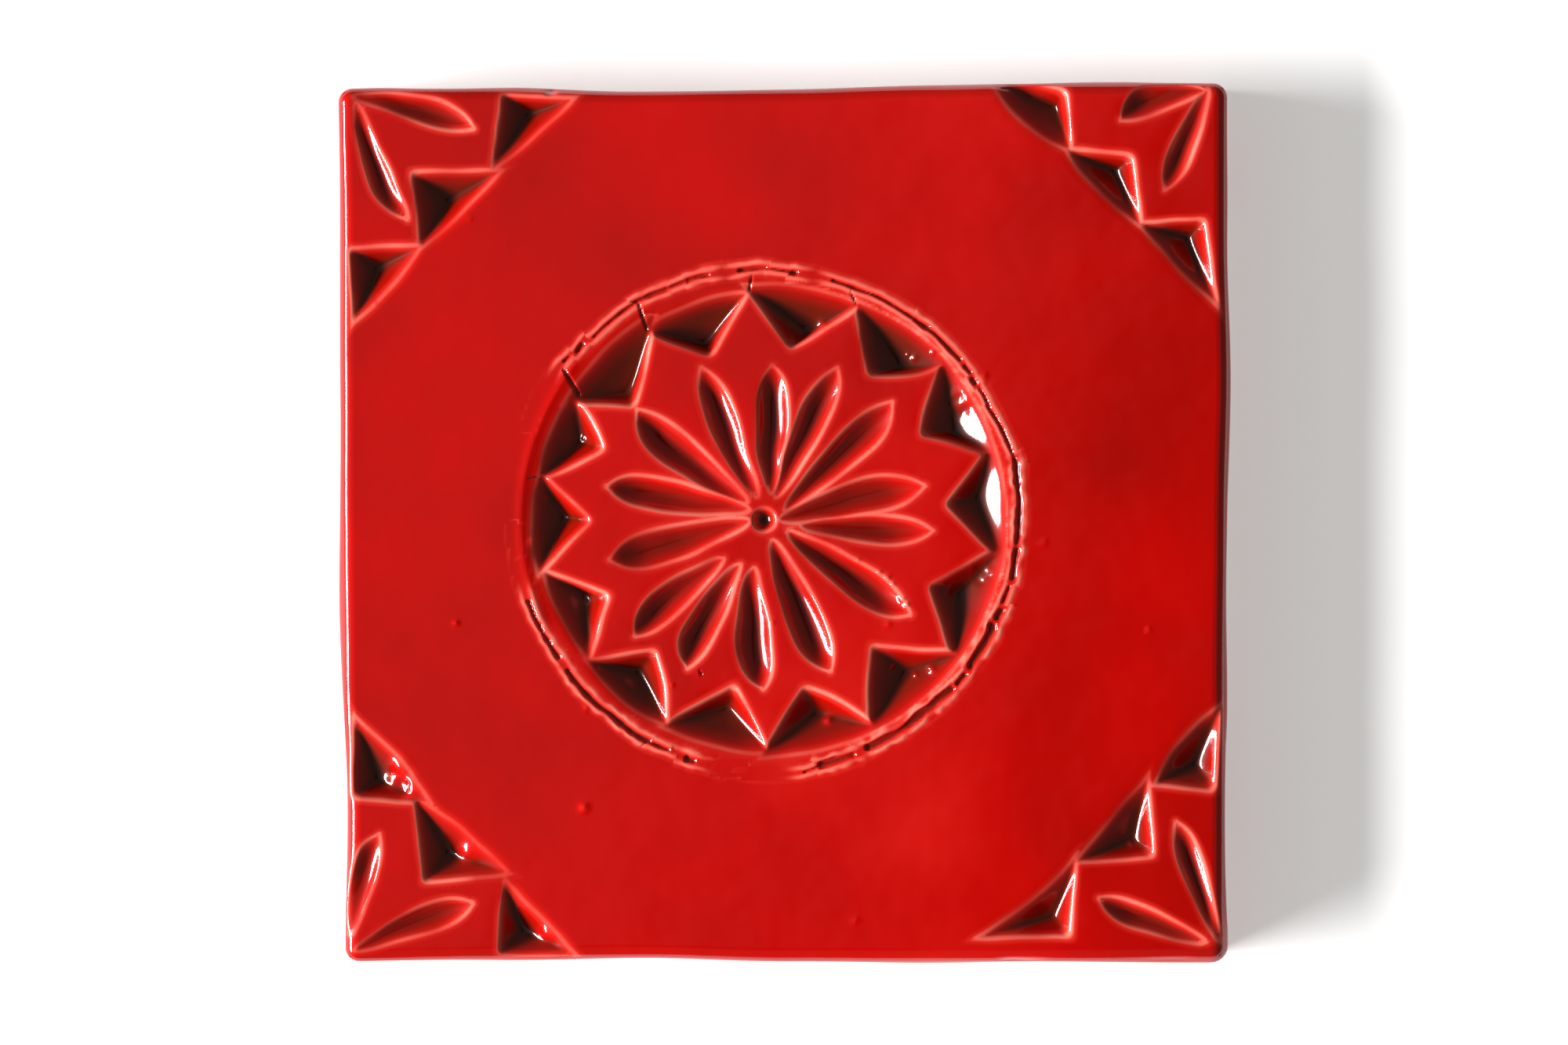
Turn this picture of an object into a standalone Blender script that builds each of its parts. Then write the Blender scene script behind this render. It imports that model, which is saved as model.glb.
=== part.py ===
"""One hand-made square tile of glazed clay, with a chip-carved rosette and four carved corners.

The scene is in metres with +Z up. The carved face looks up, and the origin is in the middle of the
flat back. The values below are millimetres unless their name says otherwise.
"""

import math

import bmesh
import bpy
from mathutils import Vector

MM = 0.001

# Body: four corners that a hand-cut slab leaves slightly out of square, and how far each side sways
# outwards of its straight line at even steps between them
THICKNESS = 9.0
CORNERS = [(-49.7, -49.75), (50.0, -49.55), (50.2, 49.75), (-50.5, 49.15)]
SIDE_SWAY = [
    [-0.25, -0.4, 0.0, 0.1, 0.1],
    [-0.1, -0.1, 0.05, 0.35, 0.0],
    [0.05, -0.2, -0.5, -0.6, -0.1],
    [-0.15, 0.0, 0.1, 0.05, -0.45],
]
SIDE_STEPS = 16
CORNER_REACH = 2.6
CORNER_STEPS = 5
TOP_ROUND = 1.7
TOP_ROUND_STEPS = 5
FOOT_ROUND = 0.6
FOOT_ROUND_STEPS = 2

# Rosette: it is laid out from a compass hole a little left of the tile's middle
HOLE = (-2.4, 0.3)
HOLE_RADIUS = 1.3
HOLE_END_RADIUS = 0.9
HOLE_DEPTH = 2.4
HOLE_SIDES = 16

# Scored circle: arcs in degrees where the compass point bit, each with its width and depth
RING_CENTRE = (0.46, 0.1)
RING_RADIUS = 28.3
RING_STEP = 7.0
RING_ARCS = [
    (19.0, 75.0, 0.6, 0.6),
    (83.0, 97.0, 0.6, 0.6),
    (103.0, 142.0, 0.6, 0.6),
    (199.0, 247.0, 0.6, 0.6),
    (278.0, 290.5, 0.7, 0.7),
    (293.5, 334.5, 0.8, 0.7),
    (337.0, 374.0, 0.7, 0.7),
]

# Chips round the star, anticlockwise. Each has the angle and radius of the star's tip where it
# starts, of the notch between its two tips, and of its deepest point, then its depth there, and the
# radius of its outer edge round a point beside the compass hole
STAR_CHIPS = [
    ((93.5, 25.8), (107.7, 19.5), (108.6, 20.9), 3.1, 25.8),
    ((120.8, 24.4), (138.1, 19.3), (136.8, 20.8), 2.6, 26.6),
    ((147.4, 24.4), (155.8, 19.3), (157.1, 22.3), 2.7, 26.4),
    ((169.2, 24.8), (180.2, 19.1), (179.3, 22.4), 2.7, 26.4),
    ((193.1, 25.2), (206.2, 19.5), (202.9, 22.0), 2.7, 25.8),
    ((219.2, 25.2), (230.3, 19.1), (230.6, 22.2), 2.8, 26.0),
    ((245.1, 25.4), (259.4, 19.0), (258.6, 21.6), 2.6, 26.3),
    ((270.9, 25.6), (282.9, 19.3), (285.0, 22.8), 2.6, 26.8),
    ((297.6, 25.5), (310.6, 18.7), (313.2, 23.5), 2.5, 26.8),
    ((325.1, 25.6), (338.0, 20.0), (339.5, 23.6), 2.5, 26.8),
    ((352.1, 25.8), (364.8, 20.4), (366.5, 24.5), 2.9, 26.8),
    ((376.7, 26.0), (388.7, 20.0), (383.9, 23.6), 2.8, 26.8),
    ((401.3, 26.1), (413.9, 20.0), (407.6, 23.0), 2.5, 26.8),
    ((426.2, 26.1), (440.9, 19.4), (436.4, 21.5), 2.5, 26.6),
]
STAR_RIM_CENTRE = (0.6, 0.0)
RIM_SHARES = [0.82, 0.6, 0.4, 0.18]
TIP_LAND = 0.25

# Petals round the hole, clockwise from the top: inner end, outer end, and how far the edges stand
# out to the left and to the right of the straight line between them
PETALS = [
    ((0.7, 3.1), (0.9, 17.4), 1.65, 2.1),
    ((1.2, 2.6), (8.3, 17.0), 1.6, 1.65),
    ((2.4, 1.3), (14.4, 13.1), 1.5, 2.15),
    ((1.8, 0.1), (18.1, 3.9), 2.2, 1.75),
    ((4.4, -0.5), (19.0, -1.2), 1.5, 1.85),
    ((2.7, -1.2), (16.6, -10.6), 1.75, 2.15),
    ((0.9, -2.3), (7.5, -17.2), 1.85, 2.3),
    ((-1.1, -5.5), (0.0, -19.2), 1.2, 2.7),
    ((-2.6, -5.1), (-8.5, -16.9), 1.1, 2.5),
    ((-4.5, -4.5), (-14.6, -13.2), 1.2, 2.4),
    ((-1.6, -0.1), (-17.3, -4.6), 2.1, 1.85),
    ((-1.6, 1.0), (-17.5, 3.8), 1.8, 2.0),
    ((-1.8, 1.9), (-14.1, 12.6), 2.5, 1.5),
    ((-0.8, 2.5), (-7.1, 17.4), 1.6, 1.55),
]
PETAL_DEPTH_SHARE = 0.44
PETAL_SECTIONS = 7
# A petal's swell along its length: how fast it opens, how bluntly it ends, and its fullest value
PETAL_OPENING = 0.55
PETAL_BLUNTNESS = 6
PETAL_FULLEST = 0.73

# Corners, from the tile's middle: each chip has its three mouth corners, with the edge that faces the
# field between the last and the first, its deepest point, and how far that edge bows outwards
CORNER_CHIPS = [
    ([(-32.9, 39.9), (-32.0, 48.8), (-23.6, 48.1)], (-29.0, 46.7), 0.0),
    ([(-41.1, 30.9), (-41.9, 39.4), (-31.9, 40.0)], (-38.0, 36.5), 0.35),
    ([(-48.7, 22.5), (-49.2, 30.7), (-40.9, 31.3)], (-46.2, 28.7), 0.5),
    ([(32.4, 41.8), (31.9, 48.5), (23.2, 50.6)], (30.7, 46.7), 1.5),
    ([(40.5, 33.4), (39.4, 41.6), (31.8, 42.0)], (37.4, 39.9), 0.5),
    ([(48.9, 24.1), (47.3, 34.1), (40.2, 33.9)], (45.5, 32.0), 0.25),
    ([(-48.4, -21.7), (-48.7, -30.9), (-39.6, -31.7)], (-46.0, -29.3), 0.4),
    ([(-41.6, -30.7), (-40.6, -40.6), (-31.0, -39.6)], (-38.0, -37.3), 0.35),
    ([(-31.5, -40.3), (-32.3, -48.4), (-23.3, -48.8)], (-29.5, -45.9), 0.15),
    ([(49.4, -20.4), (48.8, -30.1), (41.7, -29.4)], (46.7, -27.3), 0.7),
    ([(40.9, -28.4), (41.6, -37.7), (32.6, -38.2)], (39.3, -35.7), 0.0),
    ([(32.7, -37.4), (32.2, -47.1), (21.8, -46.9)], (30.4, -44.8), -0.8),
]
CORNER_CHIP_DEPTH = 2.5
CORNER_PETALS = [
    ((-48.6, 47.9), (-35.0, 44.6), 1.8, 1.05),
    ((-48.2, 47.2), (-42.5, 34.0), 0.5, 2.15),
    ((47.6, 48.6), (38.0, 45.4), 0.5, 2.7),
    ((47.9, 49.0), (43.0, 37.6), 1.3, 1.25),
    ((-49.0, -46.6), (-45.6, -35.2), 1.9, 0.9),
    ((-48.4, -48.2), (-35.0, -42.9), 1.65, 1.45),
    ((49.2, -47.3), (44.1, -33.6), 1.3, 1.25),
    ((47.6, -47.4), (35.4, -42.5), 1.65, 1.1),
]

# Cutters stand this far above the face, so that their walls pass right through it
CUTTER_RISE = 0.8

GLAZE_COLOUR = (0.55, 0.010, 0.006, 1.0)
GLAZE_ROUGHNESS = 0.08


def clear_scene():
    for found in list(bpy.data.objects):
        bpy.data.objects.remove(found, do_unlink=True)


def glaze_material():
    material = bpy.data.materials.new("red_glaze")
    material.use_nodes = True
    shader = material.node_tree.nodes["Principled BSDF"]
    shader.inputs["Base Color"].default_value = GLAZE_COLOUR
    shader.inputs["Roughness"].default_value = GLAZE_ROUGHNESS
    shader.inputs["Metallic"].default_value = 0.0
    return material


def polar(angle, radius):
    return Vector((math.cos(math.radians(angle)), math.sin(math.radians(angle)))) * radius


# Body

def sway_at(share, sways):
    """How far a side stands out at a share of its length, eased between the hand-set values."""
    knots = [0.0, *sways, 0.0]
    place = share * (len(knots) - 1)
    index = min(int(place), len(knots) - 2)
    ease = (1 - math.cos(math.pi * (place - index))) / 2
    return knots[index] * (1 - ease) + knots[index + 1] * ease


def side_points(start, end, sways):
    """Points along one side, anticlockwise, leaving room for the rounded corner at each end."""
    start, end = Vector(start), Vector(end)
    run = end - start
    outwards = Vector((run.y, -run.x)).normalized()
    margin = CORNER_REACH / run.length
    points = []
    for step in range(SIDE_STEPS + 1):
        share = margin + (1 - 2 * margin) * step / SIDE_STEPS
        points.append(start + run * share + outwards * sway_at(share, sways))
    return points


def corner_points(before, corner, after):
    """The rounded corner between two sides, without its two end points."""
    corner = Vector(corner)
    points = []
    for step in range(1, CORNER_STEPS):
        share = step / CORNER_STEPS
        points.append(
            before * (1 - share) ** 2 + corner * 2 * share * (1 - share) + after * share**2
        )
    return points


def slab_outline():
    sides = []
    for index, sways in enumerate(SIDE_SWAY):
        sides.append(side_points(CORNERS[index], CORNERS[(index + 1) % 4], sways))
    outline = []
    for index, side in enumerate(sides):
        after = sides[(index + 1) % 4]
        outline += side
        outline += corner_points(side[-1], CORNERS[(index + 1) % 4], after[0])
    return outline


def inset_outline(outline, inset):
    """The outline drawn in by an even distance, square to it at each point."""
    count = len(outline)
    drawn_in = []
    for index, point in enumerate(outline):
        along = (outline[(index + 1) % count] - outline[index - 1]).normalized()
        drawn_in.append(point + Vector((-along.y, along.x)) * inset)
    return drawn_in


def edge_profile():
    """(height, inset) from the back, up the side and over the rounded top edge."""
    profile = []
    for step in range(FOOT_ROUND_STEPS + 1):
        turn = math.pi / 2 * step / FOOT_ROUND_STEPS
        profile.append((FOOT_ROUND * (1 - math.cos(turn)), FOOT_ROUND * (1 - math.sin(turn))))
    for step in range(TOP_ROUND_STEPS + 1):
        turn = math.pi / 2 * step / TOP_ROUND_STEPS
        height = THICKNESS - TOP_ROUND * (1 - math.sin(turn))
        profile.append((height, TOP_ROUND * (1 - math.cos(turn))))
    return profile


def make_body(name):
    mesh = bmesh.new()
    outline = slab_outline()
    rings = []
    for height, inset in edge_profile():
        ring = [
            mesh.verts.new((point.x * MM, point.y * MM, height * MM))
            for point in inset_outline(outline, inset)
        ]
        rings.append(ring)
    for lower, upper in zip(rings, rings[1:]):
        for index in range(len(lower)):
            after = (index + 1) % len(lower)
            side = mesh.faces.new((lower[index], lower[after], upper[after], upper[index]))
            side.smooth = True
    mesh.faces.new(list(reversed(rings[0])))
    mesh.faces.new(rings[-1])
    return object_from(mesh, name, bpy.context.scene.collection)


def object_from(mesh, name, collection):
    bmesh.ops.recalc_face_normals(mesh, faces=mesh.faces)
    data = bpy.data.meshes.new(name)
    mesh.to_mesh(data)
    mesh.free()
    made = bpy.data.objects.new(name, data)
    collection.objects.link(made)
    return made


# Cutters: each is the air that one cut takes out, with its mouth on the carved face

def risen(mesh, mouth, deep, depth):
    """The cutter's corner above the face, on the line from the deep point through the mouth."""
    reach = (depth + CUTTER_RISE) / depth
    place = deep + (mouth - deep) * reach
    return mesh.verts.new((place.x * MM, place.y * MM, (THICKNESS + CUTTER_RISE) * MM))


def sunk(mesh, deep, depth):
    return mesh.verts.new((deep.x * MM, deep.y * MM, (THICKNESS - depth) * MM))


def make_pit(name, mouth, deep, depth, collection):
    """A chip: flat walls from each side of the mouth down to one deep point."""
    mesh = bmesh.new()
    top = [risen(mesh, point, deep, depth) for point in mouth]
    bottom = sunk(mesh, deep, depth)
    for index in range(len(top)):
        mesh.faces.new((top[index - 1], top[index], bottom))
    mesh.faces.new(top)
    return object_from(mesh, name, collection)


def make_groove(name, start, sections, end, collection):
    """A V-shaped cut that runs out at both ends. A section is its keel, half width and depth."""
    mesh = bmesh.new()
    rows = []
    for keel, across, depth in sections:
        left = risen(mesh, keel + across, keel, depth)
        right = risen(mesh, keel - across, keel, depth)
        rows.append((left, sunk(mesh, keel, depth), right))
    first = risen(mesh, start, sections[0][0], sections[0][2])
    last = risen(mesh, end, sections[-1][0], sections[-1][2])
    for tip, (left, keel, right) in ((first, rows[0]), (last, rows[-1])):
        mesh.faces.new((tip, left, keel))
        mesh.faces.new((tip, keel, right))
        mesh.faces.new((tip, right, left))
    for here, there in zip(rows, rows[1:]):
        mesh.faces.new((here[0], there[0], there[1]))
        mesh.faces.new((here[0], there[1], here[1]))
        mesh.faces.new((here[1], there[1], there[2]))
        mesh.faces.new((here[1], there[2], here[2]))
        mesh.faces.new((here[2], there[2], there[0], here[0]))
    return object_from(mesh, name, collection)


def make_petal(name, start, end, left, right, collection):
    """A leaf-shaped V cut: widest and deepest past its middle, in a long tail towards its start."""
    run = end - start
    square = Vector((-run.y, run.x)).normalized()
    sections = []
    for step in range(1, PETAL_SECTIONS):
        share = step / PETAL_SECTIONS
        swell = share**PETAL_OPENING * (1 - share**PETAL_BLUNTNESS) / PETAL_FULLEST
        keel = start + run * share + square * (left - right) / 2 * swell
        width = (left + right) * swell
        sections.append((keel, square * width / 2, width * PETAL_DEPTH_SHARE))
    make_groove(name, start, sections, end, collection)


def make_ring_arc(name, first, last, width, depth, collection):
    centre = Vector(HOLE) + Vector(RING_CENTRE)
    steps = max(2, round((last - first) / RING_STEP))
    sections = []
    for step in range(1, steps):
        angle = first + (last - first) * step / steps
        sections.append((centre + polar(angle, RING_RADIUS), polar(angle, width / 2), depth))
    start = centre + polar(first, RING_RADIUS)
    end = centre + polar(last, RING_RADIUS)
    make_groove(name, start, sections, end, collection)


def make_star_chip(name, chip, next_chip, collection):
    """A chip between two tips of the star and the circle outside them."""
    centre = Vector(HOLE)
    tip, notch, deep, depth, rim_radius = chip
    next_angle, next_radius = next_chip[0]
    span = (next_angle - tip[0]) % 360
    first = centre + polar(*tip)
    last = centre + polar(next_angle, next_radius)
    pull = (last - first).normalized() * TIP_LAND
    mouth = [first + pull, centre + polar(*notch), last - pull]
    for share in RIM_SHARES:
        on_rim = centre + Vector(STAR_RIM_CENTRE) + polar(tip[0] + span * share, rim_radius)
        mouth.append(on_rim)
    make_pit(name, mouth, centre + polar(*deep), depth, collection)


def make_corner_chip(name, mouth, deep, bow, collection):
    """A three-sided chip whose edge towards the field may bow outwards or inwards."""
    corners = [Vector(point) for point in mouth]
    run = corners[0] - corners[-1]
    away = Vector((run.y, -run.x)).normalized()
    if away.dot(corners[1] - corners[0]) > 0:
        away = -away
    if bow:
        corners.append((corners[0] + corners[-1]) / 2 + away * bow)
    make_pit(name, corners, Vector(deep), CORNER_CHIP_DEPTH, collection)


def make_hole(name, collection):
    mesh = bmesh.new()
    slope = (HOLE_RADIUS - HOLE_END_RADIUS) / HOLE_DEPTH
    levels = (
        (THICKNESS - HOLE_DEPTH, HOLE_END_RADIUS),
        (THICKNESS + CUTTER_RISE, HOLE_RADIUS + slope * CUTTER_RISE),
    )
    rings = []
    for height, radius in levels:
        ring = []
        for side in range(HOLE_SIDES):
            place = Vector(HOLE) + polar(360 * side / HOLE_SIDES, radius)
            ring.append(mesh.verts.new((place.x * MM, place.y * MM, height * MM)))
        rings.append(ring)
    for side in range(HOLE_SIDES):
        mesh.faces.new((rings[0][side - 1], rings[0][side], rings[1][side], rings[1][side - 1]))
    mesh.faces.new(rings[0])
    mesh.faces.new(rings[1])
    return object_from(mesh, name, collection)


def make_cutters():
    """Every cut as an object of its own, in one collection."""
    carving = bpy.data.collections.new("carving")
    bpy.context.scene.collection.children.link(carving)
    make_hole("compass_hole_cut", carving)
    for index, arc in enumerate(RING_ARCS):
        make_ring_arc(f"scored_arc_cut_{index + 1}", *arc, carving)
    for index, chip in enumerate(STAR_CHIPS):
        next_chip = STAR_CHIPS[(index + 1) % len(STAR_CHIPS)]
        make_star_chip(f"star_chip_cut_{index + 1}", chip, next_chip, carving)
    for index, (start, end, left, right) in enumerate(PETALS):
        inner = Vector(HOLE) + Vector(start)
        outer = Vector(HOLE) + Vector(end)
        make_petal(f"petal_cut_{index + 1}", inner, outer, left, right, carving)
    for index, chip in enumerate(CORNER_CHIPS):
        make_corner_chip(f"corner_chip_cut_{index + 1}", *chip, carving)
    for index, (start, end, left, right) in enumerate(CORNER_PETALS):
        make_petal(
            f"corner_petal_cut_{index + 1}", Vector(start), Vector(end), left, right, carving
        )
    for cutter in carving.objects:
        cutter.hide_render = True
        cutter.display_type = "WIRE"
    return carving


def carve(body, carving):
    cut = body.modifiers.new("carving", "BOOLEAN")
    cut.operation = "DIFFERENCE"
    cut.solver = "EXACT"
    cut.operand_type = "COLLECTION"
    cut.collection = carving


def main():
    clear_scene()
    tile = make_body("tile")
    tile.data.materials.append(glaze_material())
    carve(tile, make_cutters())


main()
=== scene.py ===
"""Looks of one hand-made tile: its carved and glazed face, its side faces and its bare back.

Lengths are millimetres unless a name says otherwise, and turn into metres where a mesh is made.
"""

import math

import bpy
import numpy as np
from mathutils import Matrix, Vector


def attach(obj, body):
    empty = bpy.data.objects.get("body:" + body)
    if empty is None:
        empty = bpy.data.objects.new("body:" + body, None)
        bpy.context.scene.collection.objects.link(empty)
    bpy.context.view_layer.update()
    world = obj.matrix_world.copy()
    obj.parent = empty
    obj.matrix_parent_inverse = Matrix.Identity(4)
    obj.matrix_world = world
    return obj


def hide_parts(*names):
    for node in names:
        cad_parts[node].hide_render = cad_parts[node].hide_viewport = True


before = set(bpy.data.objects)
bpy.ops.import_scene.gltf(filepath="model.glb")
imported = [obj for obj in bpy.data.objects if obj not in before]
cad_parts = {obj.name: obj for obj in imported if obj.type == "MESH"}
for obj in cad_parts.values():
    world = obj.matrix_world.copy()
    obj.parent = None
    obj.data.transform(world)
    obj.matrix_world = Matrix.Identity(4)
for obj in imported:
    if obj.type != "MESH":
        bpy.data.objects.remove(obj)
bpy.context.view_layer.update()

MM = 0.001
SEED = 14

# Slab: corners, and how far each side sways outwards of its straight line at even steps
THICKNESS = 9.0
CORNERS = np.array([(-49.7, -49.75), (50.0, -49.55), (50.2, 49.75), (-50.5, 49.15)])
SIDE_SWAY = [
    [-0.25, -0.4, 0.0, 0.1, 0.1],
    [-0.1, -0.1, 0.05, 0.35, 0.0],
    [0.05, -0.2, -0.5, -0.6, -0.1],
    [-0.15, 0.0, 0.1, 0.05, -0.45],
]
CORNER_RADIUS = 1.7
TOP_ROUND = 1.7
FOOT_ROUND = 0.7
# Rings down the upright part of the sides, and round the top edge and the foot
SIDE_RINGS = 9
TOP_RINGS = 5
FOOT_RINGS = 4
# Points round half of one corner and along one side, before they are spaced evenly
CORNER_POINTS = 12
SIDE_POINTS = 400
# The back is closed by rings at these shares of its reach, and a middle point
BACK_RINGS = (0.985, 0.5)

# The bare foot's height, its least, and how it wavers: size, then the length along the side, in
# points, and the seed of each wave
FOOT_HEIGHT = 1.1
LOWEST_FOOT = 0.4
FOOT_WAVES = [(0.45, 30, 6), (0.2, 6, 8)]
# How far the side faces sway: size, then lengths along and down in points and rings, and the seed
SIDE_WAVE = (0.07, 14, 3, 5)
# The sides' sway grows over this many rings, and the face's own height fades out over this many
SWAY_RINGS = 4
LIFT_RINGS = 6
# Glaze depth on the sides, and what its roll above the bare foot adds
SIDE_GLAZE = 0.33
ROLL_GLAZE = 0.35
ROLL_ABOVE = 0.5
ROLL_REACH = 0.5
# How far the foot's line is blurred, and the glaze depth that the back's bare clay hides
FOOT_BLEND = 0.25
BACK_GLAZE = 0.3

# The carved face is a height map of this many steps a side, drawn in this far from the outline
STEPS = 1024
RIM_INSET = 0.35
CELL_STEPS = [64, 32, 16, 8, 4, 2]
RIM_CELL = 4
SHAPE_ERROR = 0.03
LINE_BAND = 0.5
FLATTEST_BEND = 1e-4
ALMOST_NOTHING = 1e-6
# Distance from an edge where there is none near
NOWHERE_NEAR = -9.0

# Rosette, laid out from its compass hole
HOLE = np.array((-2.4, 0.3))
HOLE_RADIUS = 1.3
HOLE_DEPTH = 1.4

# Star chips, anticlockwise: angle and radius of the tip where each starts, of its notch and of its
# deepest point, its depth, the radius of its outer edge, and how far its two star edges bow outwards
STAR_CHIPS = [
    ((93.5, 25.8), (107.7, 19.5), (108.6, 20.9), 3.1, 25.8, (0.0, 0.0)),
    ((120.8, 24.4), (138.1, 19.3), (136.8, 20.8), 2.6, 26.6, (0.0, 0.0)),
    ((147.4, 24.4), (155.8, 19.3), (157.1, 22.3), 2.7, 26.4, (0.2, 0.2)),
    ((169.2, 24.8), (180.2, 19.1), (179.3, 22.4), 2.7, 26.4, (0.0, 0.0)),
    ((193.1, 25.2), (206.2, 19.5), (202.9, 22.0), 2.7, 25.8, (0.0, 0.0)),
    ((219.2, 25.2), (230.3, 19.1), (230.6, 22.2), 2.8, 26.0, (0.0, 0.3)),
    ((245.1, 25.4), (259.4, 19.0), (258.6, 21.6), 2.6, 26.3, (0.0, 0.2)),
    ((270.9, 25.6), (282.9, 19.3), (285.0, 22.8), 2.6, 26.8, (0.0, 0.4)),
    ((297.6, 25.5), (310.6, 18.7), (313.2, 23.5), 2.5, 26.8, (0.0, 0.0)),
    ((325.1, 25.6), (338.0, 20.0), (339.5, 23.6), 2.5, 26.8, (0.0, 0.0)),
    ((352.1, 25.8), (364.8, 20.4), (366.5, 24.1), 2.35, 26.8, (0.0, 0.0)),
    ((376.7, 26.0), (388.7, 20.0), (383.9, 23.6), 2.8, 26.8, (-0.3, 0.0)),
    ((401.3, 26.1), (413.9, 20.0), (407.6, 23.0), 2.5, 26.8, (0.5, 0.0)),
    ((426.2, 26.1), (440.9, 19.4), (436.4, 21.5), 2.5, 26.6, (0.2, 0.0)),
]
STAR_RIM_CENTRE = HOLE + (0.6, 0.0)

# How far the knife scoops its walls: at 1 they are straight, above it they are steepest at the edge
CHIP_SCOOP = 1.15
PETAL_SCOOP = 1.75
# A chip's two straight walls round into each other over this reach, and its third edge is dulled
# over this reach
NOTCH_REACH = 1.0
DULL_REACH = 1.1
# Glaze pools in the cuts, up to this thickness at this depth (mm), and less in the narrower cuts. Its
# darkness is partly real glaze and partly painted shade on the cuts' walls
POOL_AND_SHADE_GLAZE = 0.55
POOL_AND_SHADE_DEPTH = 1.25
PETAL_POOL_AND_SHADE = 0.5
CORNER_POOL_AND_SHADE = 0.8

# Petals round the hole, clockwise from the top: inner end, outer end, and how far the edges stand
# out to the left and to the right of the straight line between them
PETALS = [
    ((0.7, 3.1), (0.9, 17.4), 1.65, 2.1),
    ((1.2, 2.6), (8.3, 17.0), 1.6, 1.65),
    ((2.4, 1.3), (14.4, 13.1), 1.5, 2.15),
    ((1.8, 0.1), (18.1, 3.9), 2.2, 1.75),
    ((4.4, -0.5), (19.0, -1.2), 1.5, 1.85),
    ((2.7, -1.2), (16.6, -10.6), 1.75, 2.15),
    ((0.9, -2.3), (7.5, -17.2), 1.85, 2.3),
    ((-1.1, -5.5), (0.0, -19.2), 1.2, 2.7),
    ((-2.6, -5.1), (-8.5, -16.9), 1.1, 2.5),
    ((-4.5, -4.5), (-14.6, -13.2), 1.2, 2.4),
    ((-1.6, -0.1), (-17.3, -4.6), 2.1, 1.85),
    ((-1.6, 1.0), (-17.5, 3.8), 1.8, 2.0),
    ((-1.8, 1.9), (-14.1, 12.6), 2.5, 1.5),
    ((-0.8, 2.5), (-7.1, 17.4), 1.6, 1.55),
]
# A petal's width as a share of its widest: it opens as a power of the way along and closes as a
# higher one, and the last number is what they come to at the widest place
PETAL_OPENS = 0.55
PETAL_CLOSES = 6
PETAL_WIDEST = 0.73
# A petal's depth as a share of its width, its most, and the powers that ease it in and out
PETAL_DEPTH_SHARE = 0.44
PETAL_DEEPEST = 1.6
PETAL_EASE_IN = 0.12
PETAL_EASE_OUT = 0.7
# Share of the way along below which its shape stays the same, and the room that is left round it
PETAL_FIRST = 1e-4
PETAL_MARGIN = 3.5

# Corner chips, from the tile's middle: mouth corners, with the edge that faces the field between the
# last and the first, then the deepest point and how far that edge bows outwards
CORNER_CHIPS = [
    ([(-32.9, 39.9), (-32.0, 48.8), (-23.6, 48.1)], (-29.0, 46.7), 0.0),
    ([(-41.1, 30.9), (-41.9, 39.4), (-31.9, 40.0)], (-38.0, 36.5), 0.35),
    ([(-48.7, 22.5), (-49.2, 30.7), (-40.9, 31.3)], (-46.2, 28.7), 0.5),
    ([(32.4, 41.8), (31.9, 48.5), (23.2, 50.6)], (30.7, 46.7), 1.5),
    ([(40.5, 33.4), (39.4, 41.6), (31.8, 42.0)], (37.4, 39.9), 0.5),
    ([(48.9, 24.1), (47.3, 34.1), (40.2, 33.9)], (45.5, 32.0), 0.25),
    ([(-48.4, -21.7), (-48.7, -30.9), (-39.6, -31.7)], (-46.0, -29.3), 0.4),
    ([(-41.6, -30.7), (-40.6, -40.6), (-31.0, -39.6)], (-38.0, -37.3), 0.35),
    ([(-31.5, -40.3), (-32.3, -48.4), (-23.3, -48.8)], (-29.5, -45.9), 0.15),
    ([(49.4, -20.4), (48.8, -30.1), (41.7, -29.4)], (46.7, -27.3), 0.7),
    ([(40.9, -28.4), (41.6, -37.7), (32.6, -38.2)], (39.3, -35.7), 0.0),
    ([(32.7, -37.4), (32.2, -47.1), (21.8, -46.9)], (30.4, -44.8), -0.8),
]
CORNER_CHIP_DEPTH = 2.5
# Leaf cuts at the corners, from the tile's middle: the end at the tile's corner, the other end, and
# how far the edges stand out as on the petals
CORNER_PETALS = [
    ((-48.6, 47.9), (-35.0, 44.6), 1.8, 1.05),
    ((-48.2, 47.2), (-42.5, 34.0), 0.5, 2.15),
    ((47.6, 48.6), (38.0, 45.4), 0.5, 2.7),
    ((47.9, 49.0), (43.0, 37.6), 1.3, 1.25),
    ((-49.0, -46.6), (-45.6, -35.2), 1.9, 0.9),
    ((-48.4, -48.2), (-35.0, -42.9), 1.65, 1.45),
    ((49.2, -47.3), (44.1, -33.6), 1.3, 1.25),
    ((47.6, -47.4), (35.4, -42.5), 1.65, 1.1),
]

# Scratches where the knife ran on from the chips' corners: both ends, and the width
SCRATCHES = [
    ((-15.4, 21.6), (-16.5, 25.0), 0.35),
    ((-23.0, 14.2), (-24.9, 17.4), 0.5),
    ((-3.9, 26.0), (-3.6, 27.9), 0.25),
    ((8.2, 24.6), (7.5, 26.1), 0.25),
    ((-27.0, 5.3), (-28.9, 5.0), 0.25),
    ((-15.1, -24.6), (-16.2, -25.3), 0.2),
    ((-9.6, -16.5), (-9.2, -17.3), 0.25),
]
# How blunt the scratches' ends are, the power that they taper with, and the room left round them
SCRATCH_BLUNT = 0.05
SCRATCH_TAPER = 0.4
SCRATCH_MARGIN = 1.0

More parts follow.
